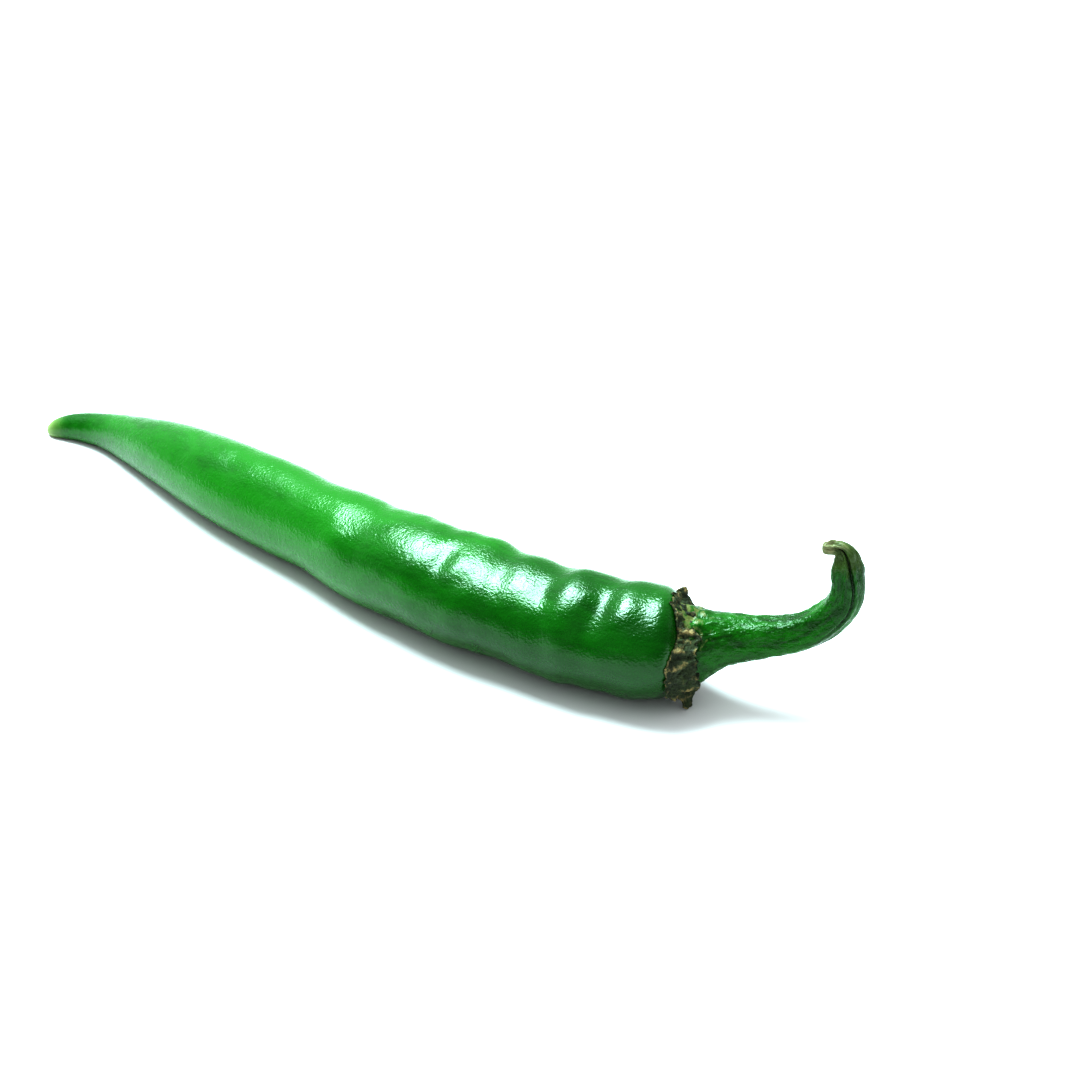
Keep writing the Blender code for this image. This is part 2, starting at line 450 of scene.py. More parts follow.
def smooth_values(table, shares, column=1):
    """Values at these shares of a table's column, on a smooth curve through its rows."""
    places = np.array([row[0] for row in table])
    values = np.array([row[column] for row in table])
    before = np.maximum(np.arange(len(table)) - 1, 0)
    after = np.minimum(np.arange(len(table)) + 1, len(table) - 1)
    slopes = (values[after] - values[before]) / (places[after] - places[before])
    i = np.clip(np.searchsorted(places, shares) - 1, 0, len(table) - 2)
    span = places[i + 1] - places[i]
    t = (shares - places[i]) / span
    blend = 3 * t**2 - 2 * t**3
    curve = slopes[i] * (t**3 - 2 * t**2 + t) + slopes[i + 1] * (t**3 - t**2)
    return values[i] * (1 - blend) + values[i + 1] * blend + span * curve


def around_values(table, turns, column):
    """Values at these turns in degrees of a table's column, on a smooth curve that closes."""
    rows = list(table)
    first = [(row[0] + 360.0, *row[1:]) for row in rows[:2]]
    last = [(row[0] - 360.0, *row[1:]) for row in rows[-2:]]
    return smooth_values(last + rows + first, np.mod(turns, 360.0), column)


def ripples(points, size, seed, waves=40):
    """A soft random height of about -1 to 1 at each point, whose bumps are about this size."""
    chance = np.random.default_rng(seed)
    heading = chance.normal(size=(waves, 3))
    heading /= np.linalg.norm(heading, axis=1)[:, None]
    lengths = 2 * size * chance.uniform(0.75, 1.35, waves)
    phases = chance.uniform(0, 2 * math.pi, waves)
    angles = points @ (heading / lengths[:, None]).T * 2 * math.pi + phases
    return np.sin(angles).sum(axis=1) / math.sqrt(waves)


def smoothstep(values, start, end):
    part = np.clip((values - start) / (end - start), 0.0, 1.0)
    return part * part * (3 - 2 * part)


def dome(part, squareness):
    """Share of the full radius at this part of the way down a dome."""
    return (1 - (1 - np.clip(part, 0, 1)) ** squareness) ** (1 / squareness)


class Pod:
    """The pod's plain shape, which the calyx and the stem are placed from."""

    def __init__(self, sizes):
        self.sizes = sizes
        self.shares = np.linspace(0, 1, LINE_STEPS + 1)
        self.headings = np.radians(smooth_values(POD_HEADINGS, self.shares))
        middle = (self.headings[1:] + self.headings[:-1]) / 2
        steps = np.column_stack([np.cos(middle), np.sin(middle)]) * sizes.length / LINE_STEPS
        self.line = np.vstack([[0.0, 0.0], np.cumsum(steps, axis=0)])
        self.shift = np.zeros(3)
        self.shift[:2] = self.place_on_cad()

    def place_on_cad(self):
        """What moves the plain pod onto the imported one."""
        share, turn = np.meshgrid(self.shares, np.linspace(-math.pi, math.pi, 73))
        points = self.skin(share.ravel(), turn.ravel(), 0.0)
        low = np.array(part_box("pod")[0])
        return low[:2] - points.min(axis=0)[:2]

    def radius(self, share):
        return self.sizes.diameter / 2 * smooth_values(POD_RADII, share)

    def on_line(self, share):
        """Points in plan and headings of the centreline."""
        x = np.interp(share, self.shares, self.line[:, 0])
        y = np.interp(share, self.shares, self.line[:, 1])
        return x, y, np.interp(share, self.shares, self.headings)

    def rounding(self, share):
        sizes = self.sizes
        tip = dome(share * sizes.length / sizes.tip_round, 2)
        crown = dome((1 - share) * sizes.length / sizes.shoulder_round, sizes.shoulder_squareness)
        return tip * crown

    def skin(self, share, turn, relief):
        """Points on the skin, with the relief inwards, before it gives where it lies."""
        x, y, heading = self.on_line(share)
        radius = self.rounding(share) * (self.radius(share) - relief)
        across = radius * np.sin(turn)
        height = self.radius(share) - self.sizes.rest_depth + radius * np.cos(turn)
        x, y = x + across * np.sin(heading), y - across * np.cos(heading)
        return np.column_stack([x, y, height]) + self.shift

    def crown(self):
        """Origin and the axes level, up and out of the shoulder's crown."""
        x, y, heading = self.on_line(1.0)
        height = self.radius(np.array([1.0]))[0] - self.sizes.rest_depth
        out = np.array([math.cos(heading), math.sin(heading), 0.0])
        up = np.array([0.0, 0.0, 1.0])
        return np.array([x, y, height]) + self.shift, np.cross(up, out), up, out

    def shoulder_fall(self, radius):
        """How far the shoulder has fallen below its crown at this distance from its axis."""
        part = np.clip(radius / self.radius(np.array([1.0]))[0], 0, 1)
        n = self.sizes.shoulder_squareness
        return self.sizes.shoulder_round * (1 - (1 - part**n) ** (1 / n))


def near_turn(turn, middle, width):
    """1 where the turn is this middle in degrees, fading to 0 over about this width."""
    return np.exp(-(((np.degrees(turn) % 360 - middle) / width) ** 2))


def from_crown(pod, points):
    """Moves points from the crown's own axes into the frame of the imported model."""
    origin, level, up, out = pod.crown()
    return origin + points[:, :1] * level + points[:, 1:2] * up + points[:, 2:] * out


def round_mesh(name, sides, rows, place, values=None):
    """A sphere with each vertex moved by place(share from the lower pole by angle, turn).

    values(share, turn) gives the mesh's own attributes, by name, for its material.
    """
    shape = bmesh.new()
    bmesh.ops.create_uvsphere(shape, u_segments=sides, v_segments=rows, radius=1.0)
    unit = np.array([vertex.co for vertex in shape.verts])
    share = 1 - np.arccos(np.clip(unit[:, 2], -1, 1)) / math.pi
    turn = np.arctan2(unit[:, 1], unit[:, 0])
    for vertex, point in zip(shape.verts, place(share, turn)):
        vertex.co = point
    bmesh.ops.recalc_face_normals(shape, faces=shape.faces)
    mesh = bpy.data.meshes.new(name)
    shape.to_mesh(mesh)
    shape.free()
    mesh.shade_smooth()
    for key, found in (values(share, turn) if values else {}).items():
        kind, slot = ("FLOAT_VECTOR", "vector") if found.ndim == 2 else ("FLOAT", "value")
        attribute = mesh.attributes.new(key, kind, "POINT")
        attribute.data.foreach_set(slot, np.ascontiguousarray(found, np.float32).ravel())
    return mesh


def add_object(name, data):
    added = bpy.data.objects.new(name, data)
    bpy.context.scene.collection.objects.link(added)
    return added


def add_piece(name, mesh, material, node):
    mesh.materials.append(material)
    piece = add_object(name, mesh)
    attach(piece, "root")
    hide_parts(node)


# ---- Materials


class NodeMaker:
    """Adds and links the nodes of one tree."""

    def __init__(self, tree):
        self.tree = tree

    def add(self, kind, values=None, **settings):
        """A node with these settings; values are its inputs by name or number, linked or set."""
        node = self.tree.nodes.new(kind)
        for key, value in settings.items():
            setattr(node, key, value)
        for key, value in (values or {}).items():
            self.put(node.inputs[key], value)
        return node

    def put(self, socket, value):
        if isinstance(value, bpy.types.NodeSocket):
            self.tree.links.new(value, socket)
        elif isinstance(value, (tuple, list)) or hasattr(value, "r"):
            opaque = (1.0,) if socket.type == "RGBA" and len(value) == 3 else ()
            socket.default_value = (*value, *opaque)
        else:
            socket.default_value = value

    def math(self, operation, first, second):
        return self.add("ShaderNodeMath", {0: first, 1: second}, operation=operation).outputs[0]

    def attribute(self, name, output="Fac"):
        return self.add("ShaderNodeAttribute", attribute_name=name).outputs[output]

    def noise(self, vector, scale, detail=2.0, roughness=0.5, distortion=0.0):
        node = self.add(
            "ShaderNodeTexNoise",
            {"Vector": vector, "Scale": scale, "Detail": detail, "Roughness": roughness,
             "Distortion": distortion},
        )
        return node.outputs["Fac"]

    def span(self, value, low, high, out_low=0.0, out_high=1.0):
        node = self.add(
            "ShaderNodeMapRange",
            {"Value": value, "From Min": low, "From Max": high, "To Min": out_low,
             "To Max": out_high},
            interpolation_type="SMOOTHSTEP",
        )
        return node.outputs["Result"]

    def mix(self, factor, first, second, blend="MIX"):
        node = self.add("ShaderNodeMix", data_type="RGBA", blend_type=blend)
        sockets = [socket for socket in node.inputs if socket.enabled]
        for socket, value in zip(sockets, (factor, first, second)):
            self.put(socket, value)
        return next(socket for socket in node.outputs if socket.enabled)

    def stretch(self, vector, scale):
        node = self.add("ShaderNodeVectorMath", {0: vector, 1: scale}, operation="MULTIPLY")
        return node.outputs[0]


def new_group(name, inputs, outputs):
    """A shader node group with these sockets, and its maker."""
    group = bpy.data.node_groups.new(name, "ShaderNodeTree")
    for title, kind, value in inputs:
        socket = group.interface.new_socket(title, in_out="INPUT", socket_type=kind)
        if value is not None:
            socket.default_value = value
    for title, kind in outputs:
        group.interface.new_socket(title, in_out="OUTPUT", socket_type=kind)
    make = NodeMaker(group)
    start = make.add("NodeGroupInput")
    end = make.add("NodeGroupOutput")
    return group, make, start.outputs, end.inputs


def skin_relief():
    """Height of a plant skin: small pits and bumps over broader ones."""
    group, make, given, result = new_group(
        "Plant Skin Relief",
        (
            ("Vector", "NodeSocketVector", None),
            ("Fine Scale", "NodeSocketFloat", 1600.0),
            ("Broad Scale", "NodeSocketFloat", 500.0),
            ("Fine Share", "NodeSocketFloat", 0.5),
        ),
        (("Height", "NodeSocketFloat"),),
    )
    fine = make.noise(given["Vector"], given["Fine Scale"], 1.0, 0.5, 0.2)
    broad = make.noise(given["Vector"], given["Broad Scale"], 2.0, 0.5, 0.1)
    low = make.math("MULTIPLY", fine, given["Fine Share"])
    make.put(result["Height"], make.math("ADD", low, broad))
    return group


def mottling():
    """Two colours in soft blotches, with fine flecks between them."""
    group, make, given, result = new_group(
        "Mottling",
        (
            ("Vector", "NodeSocketVector", None),
            ("Scale", "NodeSocketFloat", 100.0),
            ("Fleck Scale", "NodeSocketFloat", 900.0),
            ("Flecks", "NodeSocketFloat", 0.3),
            ("Balance", "NodeSocketFloat", 0.5),
            ("First", "NodeSocketColor", None),
            ("Second", "NodeSocketColor", None),
        ),
        (("Colour", "NodeSocketColor"),),
    )
    blotch = make.noise(given["Vector"], given["Scale"], 3.0, 0.55, 0.4)
    fleck = make.noise(given["Vector"], given["Fleck Scale"], 2.0, 0.6)
    fleck = make.math("MULTIPLY", make.math("SUBTRACT", fleck, 0.5), given["Flecks"])
    mask = make.math("ADD", make.math("ADD", blotch, fleck), given["Balance"])
    mask = make.span(mask, 0.72, 1.28)
    make.put(result["Colour"], make.mix(mask, given["First"], given["Second"]))
    return group


def drying():
    """Where tissue has dried out, from a smooth amount whose edge is broken up."""
    group, make, given, result = new_group(
        "Drying",
        (
            ("Vector", "NodeSocketVector", None),
            ("Amount", "NodeSocketFloat", 0.0),
            ("Scale", "NodeSocketFloat", 700.0),
            ("Breakup", "NodeSocketFloat", 0.6),
        ),
        (("Mask", "NodeSocketFloat"),),
    )
    noise = make.noise(given["Vector"], given["Scale"], 4.0, 0.6, 0.3)
    noise = make.math("MULTIPLY", make.math("SUBTRACT", noise, 0.5), given["Breakup"])
    mask = make.span(make.math("ADD", given["Amount"], noise), 0.35, 0.65)
    make.put(result["Mask"], mask)
    return group


def new_material(name):
    material = bpy.data.materials.new(name)
    material.use_nodes = True
    tree = material.node_tree
    return material, NodeMaker(tree), tree.nodes["Principled BSDF"]


def use_group(make, name, builder, values):
    """A node of the shared group with this name, which is built the first time it is asked for."""
    node = make.tree.nodes.new("ShaderNodeGroup")
    node.node_tree = bpy.data.node_groups.get(name) or builder()
    for key, value in values.items():
        make.put(node.inputs[key], value)
    return node


def waxy_skin(settings):
    """The pod's skin: waxy, finely pitted, deeper green towards the stem and paler on top as
    painted light, with a pale dry point.
    """
    material, make, shader = new_material("waxy_skin")
    place = make.attribute("skin_place", "Vector")
    parts = make.add("ShaderNodeSeparateXYZ", {0: place}).outputs
    along, upwards = parts["X"], parts["Z"]
    streaks = make.stretch(place, (0.35, 1.0, 1.0))
    # How much of the deep green shows: more at the tip and most by the stem. Less shows on top, as
    # painted light: a paler top where the light falls.
    at_tip = make.span(along, 0.0, 0.36 * settings.length, 0.62, 0.26)
    at_stem = make.span(along, 0.50 * settings.length, 0.90 * settings.length, 0.0, 0.46)
    painted_top_light = make.span(upwards, 0.0055, 0.0095, 0.0, 0.13)
    deeper = make.math("SUBTRACT", make.math("ADD", at_tip, at_stem), painted_top_light)
    colour = use_group(make, "Mottling", mottling, {
        "Vector": streaks, "Scale": 95.0, "Fleck Scale": 1100.0, "Flecks": 0.25,
        "Balance": deeper,
        "First": settings.skin, "Second": settings.deep_skin,
    }).outputs["Colour"]
    uneven = make.math("MULTIPLY", make.noise(place, 420.0, 3.0), 0.0020)
    tip = make.span(make.math("ADD", along, uneven), -0.0020, 0.0085, 1.0, 0.0)
    tip = make.math("POWER", tip, 2.2)
    make.put(shader.inputs["Base Color"], make.mix(tip, colour, settings.tip_skin))
    smoothest, roughest = settings.roughness - 0.03, settings.roughness + 0.05
    rough = make.span(make.noise(place, 260.0, 2.0), 0.3, 0.7, smoothest, roughest)
    rough = make.math("ADD", rough, make.math("MULTIPLY", tip, 0.35))
    make.put(shader.inputs["Roughness"], rough)
    relief = use_group(make, "Plant Skin Relief", skin_relief, {
        "Vector": place, "Fine Scale": 2600.0, "Broad Scale": 1100.0, "Fine Share": 1.0,
    }).outputs["Height"]
    bump = make.add("ShaderNodeBump", {"Strength": 0.6, "Distance": 0.00011, "Height": relief})
    make.put(shader.inputs["Normal"], bump.outputs["Normal"])
    shader.inputs["IOR"].default_value = 1.45
    shader.inputs["Specular IOR Level"].default_value = 0.60
    return material


def dried_calyx(settings):
    """The calyx's tissue: dark, dry and crumpled, tan along its edge and its folds."""
    material, make, shader = new_material("dried_calyx")
    place = make.add("ShaderNodeTexCoord").outputs["Object"]
    edge = make.attribute("edge")
    fold = make.attribute("fold")
    dark = tuple(0.35 * value for value in settings.dry)
    base = use_group(make, "Mottling", mottling, {
        "Vector": place, "Scale": 520.0, "Fleck Scale": 2400.0, "Flecks": 0.8, "Balance": 0.5,
        "First": settings.dry, "Second": dark,
    }).outputs["Colour"]
    at_edge = make.math("MULTIPLY", edge, 0.42)
    amount = make.math("ADD", at_edge, make.math("MULTIPLY", fold, 0.50))
    tan = use_group(make, "Drying", drying, {
        "Vector": place, "Amount": amount, "Scale": 1300.0, "Breakup": 0.9,
    }).outputs["Mask"]
    make.put(shader.inputs["Base Color"], make.mix(tan, base, settings.tan))
    make.put(shader.inputs["Roughness"], make.span(make.noise(place, 900.0), 0.3, 0.7, 0.60, 0.92))
    relief = use_group(make, "Plant Skin Relief", skin_relief, {
        "Vector": place, "Fine Scale": 3200.0, "Broad Scale": 1100.0, "Fine Share": 0.6,
    }).outputs["Height"]
    bump = make.add("ShaderNodeBump", {"Strength": 0.9, "Distance": 0.0004, "Height": relief})
    make.put(shader.inputs["Normal"], bump.outputs["Normal"])
    return material


def stem_skin(settings):
    """The stem's skin: satin, rubbed pale by the calyx with a painted highlight on that patch's
    top, ageing to olive and to tan at its end, with painted shade in its groove.
    """
    material, make, shader = new_material("stem_skin")
    place = make.attribute("skin_place", "Vector")
    age = make.attribute("age")
    groove = make.attribute("groove")
    along = make.add("ShaderNodeSeparateXYZ", {0: place}).outputs["X"]
    streaks = make.stretch(place, (0.3, 1.0, 1.0))
    green = use_group(make, "Mottling", mottling, {
        "Vector": streaks, "Scale": 420.0, "Fleck Scale": 1900.0, "Flecks": 0.6, "Balance": 0.5,
        "First": settings.green, "Second": settings.deep_green,
    }).outputs["Colour"]
    ageing = use_group(make, "Drying", drying, {
        "Vector": streaks, "Amount": age, "Scale": 500.0, "Breakup": 0.9,
    }).outputs["Mask"]
    colour = make.mix(ageing, green, settings.olive)
    end = use_group(make, "Drying", drying, {
        "Vector": place, "Amount": make.math("SUBTRACT", age, 0.46), "Scale": 900.0,
        "Breakup": 0.5,
    }).outputs["Mask"]
    colour = make.mix(end, colour, settings.cut)
    # A pale patch on the flare's top: partly rubbed tissue and partly a painted highlight.
    chafe = make.attribute("chafe")
    chafed_and_sheen = use_group(make, "Drying", drying, {
        "Vector": place, "Amount": make.math("MULTIPLY", chafe, 0.62), "Scale": 1500.0,
        "Breakup": 1.6,
    }).outputs["Mask"]
    colour = make.mix(chafed_and_sheen, colour, settings.chafed_and_sheen)
    brown, groove_painted_shade = (0.060, 0.022, 0.012), (0.004, 0.010, 0.003)
    specks = make.span(make.noise(place, 640.0, 2.0, 0.5), 0.72, 0.78)
    colour = make.mix(make.math("MULTIPLY", specks, 0.8), colour, brown)
    # Painted shade: the groove is darkened nearly to black, as shade in its hollow.
    colour = make.mix(make.math("MULTIPLY", groove, 0.85), colour, groove_painted_shade)
    make.put(shader.inputs["Base Color"], colour)
    rough = make.noise(place, 1200.0, 2.0)
    make.put(shader.inputs["Roughness"], make.span(rough, 0.3, 0.7, 0.22, 0.42))
    shader.inputs["Specular IOR Level"].default_value = 0.36
    relief = use_group(make, "Plant Skin Relief", skin_relief, {
        "Vector": make.stretch(place, (0.7, 1.0, 1.0)), "Fine Scale": 2600.0,
        "Broad Scale": 1200.0, "Fine Share": 0.5,
    }).outputs["Height"]
    bump = make.add("ShaderNodeBump", {"Strength": 0.8, "Distance": 0.00035, "Height": relief})
    make.put(shader.inputs["Normal"], bump.outputs["Normal"])
    return material


# ---- Pieces


def build_pod(settings):
    pod = Pod(settings)

    def straight(share, turn):
        """The skin's place if the pod were straight, for patterns that follow it."""
        radius = pod.radius(share)
        return np.column_stack(
            [share * settings.length, radius * np.sin(turn), radius * np.cos(turn)]
        )

    def relief(share, turn):
        total = np.zeros(len(share))
        for middle_share, middle, depth, half_length, half_width in POD_DENTS:
            near = (share - middle_share) * settings.length / half_length
            around = (np.degrees(turn) - middle + 180) % 360 - 180
            total += depth * np.exp(-(near**2) - (around / half_width) ** 2)
        lobed = settings.lobes * smoothstep(share, 0.35, 0.85)
        total -= pod.radius(share) * lobed * np.cos(3 * (turn - settings.lobe_turn))
        # Small folds grow towards the stem, over broader waves.
        skin = straight(share, turn)
        towards_stem = 0.10 + 0.90 * smoothstep(share, 0.50, 0.88)
        wrinkles = ripples(skin * (1.0, 0.6, 0.6), 0.0024, 3)
        total += settings.wrinkle_depth * towards_stem * wrinkles
        total += 2.0 * settings.wrinkle_depth * ripples(skin * (0.5, 1.0, 1.0), 0.0085, 8)
        return total

    def place(share, turn):
        """The skin, which gives way softly where it would reach below the table."""
        points = pod.skin(share, turn, relief(share, turn))
        soft = settings.rest_depth / 2
        points[:, 2] = (points[:, 2] + np.sqrt(points[:, 2] ** 2 + soft**2)) / 2
        return points

    def values(share, turn):
        return {"skin_place": straight(share, turn)}

    return round_mesh("pod_skin", settings.sides, settings.rows, place, values)


def build_calyx(settings, pod):
    body = pod.radius(np.array([1.0]))[0]

    def edge_noise(turn):
        ring = np.column_stack([np.cos(turn), np.sin(turn), np.zeros(len(turn))])
        return 0.6 * ripples(ring, 0.09, 21) + 0.4 * ripples(ring, 0.035, 22)

    def shape(share, turn):
        """Points in the crown's axes, and how near each is to the edge and to the top of a fold."""
        degrees = np.degrees(turn)
        reach = around_values(CALYX_EDGE, degrees, 1) + EDGE_RAG * edge_noise(turn)
        lift = around_values(CALYX_EDGE, degrees, 2)
        outer = np.clip(2 * share - 1, 0, 1)  # 0 at the edge, 1 at the middle of the outer face
        inner = np.clip(1 - 2 * share, 0, 1)  # 0 at the edge, 1 at the middle of the inner face
        slant = np.clip(outer / 0.8, 0, 1)  # from the edge to the collar
        top = np.clip((outer - 0.8) / 0.2, 0, 1)  # from the collar to the middle
        inwards = smooth_values(CALYX_FACE, slant, 1)
        risen = smooth_values(CALYX_FACE, slant, 2)
        pinch = near_turn(turn, PINCH_TURN, PINCH_WIDTH)
        tuck = near_turn(turn, TUCK_TURN, TUCK_WIDTH)
        collar = settings.collar_radius - PINCH_COLLAR * pinch - TUCK_COLLAR * tuck
        radius = np.where(
            share >= 0.5,
            (reach + (collar - reach) * inwards) * (1 - top),
            reach * (1 - inner),
        )
        # A lobe leaves the pod towards its edge.
        free = smoothstep(radius, 0.70 * reach, 1.0 * reach) * lift
        below = -pod.shoulder_fall(np.minimum(radius, INNER_LIMIT * body))
        floor = below - CALYX_SINK + free
        rim = -pod.shoulder_fall(np.minimum(reach, INNER_LIMIT * body)) + lift + settings.rim
        lean = settings.collar_lean * np.cos(turn - math.radians(LEAN_TURN))
        highest = settings.collar_height + lean
        highest = highest + COLLAR_RAG * edge_noise(turn + 2.0)
        highest = highest + PINCH_RISE * pinch - TUCK_FALL * tuck
        face = rim + (highest - rim) * risen
        height = np.where(share >= 0.5, face, floor)
        # Folds run from the collar to the edge, over a finer crumple.
        ring = np.column_stack([radius * np.cos(turn), radius * np.sin(turn), height])
        fans = np.column_stack([1.6 * np.cos(turn), 1.6 * np.sin(turn), radius * 40])
        fold = 0.55 * ripples(fans, 0.16, 31) + 0.45 * ripples(ring, 0.0011, 32)
        fine = ripples(ring, 0.00045, 33)
        shown = smoothstep(outer, 0.0, 0.12) * (1 - smoothstep(outer, 0.72, 0.85))
        push = settings.crumple * shown * (fold + 0.35 * fine)
        radius = radius + 0.75 * push
        height = height + 0.65 * push
        points = np.column_stack([radius * np.cos(turn), radius * np.sin(turn), height])
        near_edge = 1 - smoothstep(outer, 0.02, 0.13)
        near_edge = near_edge + 0.4 * pinch * smoothstep(outer, 0.0, 0.2)
        return points, near_edge, shown * np.clip(0.5 + 0.6 * fold, 0, 1)

    def place(share, turn):
        return from_crown(pod, shape(share, turn)[0])

    def values(share, turn):
        _, near_edge, fold = shape(share, turn)
        return {"edge": near_edge, "fold": fold}

    return round_mesh("calyx_tissue", settings.sides, settings.rows, place, values)


def build_stem(settings, pod, collar_height):
    knots = np.linspace(0, 1, len(STEM_ROUTE))
    reaches = [(knot, row[0]) for knot, row in zip(knots, STEM_ROUTE)]
    rises = [(knot, row[1]) for knot, row in zip(knots, STEM_ROUTE)]
    start = collar_height - STEM_SINK
    fine = np.linspace(0, 1, 600)
    out = start + (settings.reach - start) * smooth_values(reaches, fine)
    up = settings.rise * smooth_values(rises, fine)
    lengths = np.concatenate([[0.0], np.cumsum(np.hypot(np.diff(out), np.diff(up)))])
    total = lengths[-1]
    slope = np.unwrap(np.arctan2(np.gradient(up), np.gradient(out)))

    def parts(share):
        """Distance along the stem, and how far each of its two ends has opened, from 0 to 1."""
        along = np.clip((share - STEM_SPARE) / (1 - 2 * STEM_SPARE), 0, 1) * total
        base = np.clip(share / STEM_SPARE, 0, 1)
        tip = np.clip((1 - share) / STEM_SPARE, 0, 1)
        return along, base, tip

    def groove_at(along, turn):
        """1 in the middle of the groove, which wanders up the side of the hook."""
        middle = 207.0 - 12.0 * smoothstep(along, 0.55 * total, 0.95 * total)
        wander = 4.0 * np.sin(along / total * 19.0)
        begun = smoothstep(along, 0.52 * total, 0.68 * total)
        ended = smoothstep(along, 0.93 * total, 0.985 * total)
        return near_turn(turn, middle + wander, 6.5) * begun * (1 - ended)

    def skin(along, turn):
        """The skin's place if the stem were straight and even, for patterns that follow it."""
        radius = STEM_PATTERN_RADIUS
        return np.column_stack([along, radius * np.sin(turn), radius * np.cos(turn)])

    def shape(share, turn):
        along, base, tip = parts(share)
        flare = np.exp(-along / settings.flare)
        taper = along / total
        shaft = settings.diameter * (1 - 0.35 * taper)
        dried = smoothstep(along, total - STUB_LENGTH, total - 0.0002)
        shaft = shaft + (settings.end_diameter - shaft) * dried
        radius = (shaft + (settings.base_diameter - settings.diameter) * flare) / 2
        # The flare swells on top and is pinched in where the calyx is.
        radius = radius + 0.0009 * flare**2 * np.clip(np.sin(turn), 0, 1) ** 4
        radius = radius - PINCH_STEM * flare * near_turn(turn, PINCH_TURN, PINCH_WIDTH)
        # Ribs turn slowly along the stem.
        ribs = np.cos(5 * turn + 0.9 + 1.4 * taper) + 0.5 * np.cos(3 * turn + 2.0 - taper)
        radius = radius + settings.ridge * ribs * (1 - 0.4 * flare)
        radius = radius - settings.groove * groove_at(along, turn)
        # Pebbles stand on the flare, most of all on top, and knobs on the dried end.
        place = skin(along, turn)
        pebbles = 1.8 * flare * (0.3 + 0.7 * np.clip(np.sin(turn), 0, 1))
        knobs = dried + 0.35 * smoothstep(along, 0.78 * total, 0.9 * total)
        radius = radius + 0.00016 * (0.25 + pebbles + 0.5 * knobs) * ripples(place, 0.0009, 41)
        radius = radius + 0.00012 * (0.5 + 1.4 * knobs) * ripples(place, 0.0024, 42)
        closing = np.sqrt(1 - (1 - base) ** 2) * np.sqrt(1 - (1 - tip) ** 2)
        radius = radius * closing
        middle_out = np.interp(along, lengths, out)
        middle_up = np.interp(along, lengths, up)
        lean = np.interp(along, lengths, slope)
        # The closed ends bulge a little past the centreline's two ends.
        bulge = settings.end_diameter / 2 * 0.8 * (1 - tip) - 0.0004 * (1 - base)
        middle_out = middle_out + np.cos(lean) * bulge
        middle_up = middle_up + np.sin(lean) * bulge
        side = radius * np.sin(turn)
        return np.column_stack([
            radius * np.cos(turn),
            middle_up + side * np.cos(lean),
            middle_out - side * np.sin(lean),
        ])

    def place(share, turn):
        return from_crown(pod, shape(share, turn))

    def values(share, turn):
        along = parts(share)[0]
        # The pale patch is partly a painted highlight, so it is strongest on the upper side.
        above = np.clip(0.35 + 0.65 * np.sin(turn), 0, 1)
        age = smoothstep(along, 0.72 * total, total)
        chafe = above * (1 - smoothstep(along, CHAFE_AND_SHEEN_FROM, CHAFE_AND_SHEEN_TO))
        return {
            "skin_place": skin(along, turn), "age": age, "chafe": chafe,
            "groove": groove_at(along, turn),
        }

    return round_mesh("stem_skin", settings.sides, settings.rows, place, values)


class ChilliOperator:
    bl_options = {"REGISTER", "UNDO"}


class CHILLI_OT_add_pod(ChilliOperator, bpy.types.Operator):
    """Add the pod with its dents, folds and waxy skin"""

    bl_idname = "chilli.add_pod"
    bl_label = "Add Pod"

    def execute(self, context):
        settings = context.scene.chilli_pod
        add_piece("pod_skin", build_pod(settings), waxy_skin(settings), "pod")
        return {"FINISHED"}


class CHILLI_OT_add_calyx(ChilliOperator, bpy.types.Operator):
    """Add the dried calyx that caps the pod's shoulder"""

    bl_idname = "chilli.add_calyx"
    bl_label = "Add Calyx"

    def execute(self, context):
        settings = context.scene.chilli_calyx
        mesh = build_calyx(settings, Pod(context.scene.chilli_pod))
        add_piece("calyx_tissue", mesh, dried_calyx(settings), "calyx")
        return {"FINISHED"}


class CHILLI_OT_add_stem(ChilliOperator, bpy.types.Operator):
    """Add the ribbed stem that hooks up from the calyx"""

    bl_idname = "chilli.add_stem"
    bl_label = "Add Stem"

    def execute(self, context):
        scene = context.scene
        pod = Pod(scene.chilli_pod)
        mesh = build_stem(scene.chilli_stem, pod, scene.chilli_calyx.collar_height)
        add_piece("stem_skin", mesh, stem_skin(scene.chilli_stem), "stem")
        return {"FINISHED"}


# ---- Stage


def add_floor(settings):
    shape = bmesh.new()
    bmesh.ops.create_grid(shape, x_segments=1, y_segments=1, size=settings.floor_size / 2)
    mesh = bpy.data.meshes.new("floor")
    shape.to_mesh(mesh)
    shape.free()
    material, make, shader = new_material("plain_floor")
    make.put(shader.inputs["Base Color"], settings.floor_colour)
    shader.inputs["Roughness"].default_value = 0.9
    shader.inputs["Specular IOR Level"].default_value = 0.0
    mesh.materials.append(material)
    add_object("floor", mesh)


def add_key_light(settings):
    """A broad soft light that hangs above the pod, over the side of its tip."""
    light = bpy.data.lights.new("key", "AREA")
    light.shape = "RECTANGLE"
    light.size, light.size_y = settings.key_size
    light.energy = settings.key_power
    light.color = settings.key_colour
    lamp = add_object("key", light)
    place = Vector(settings.key_place)
    lamp.location = Vector(settings.view_target) + place
    lamp.rotation_euler = place.to_track_quat("Z", "Y").to_euler()


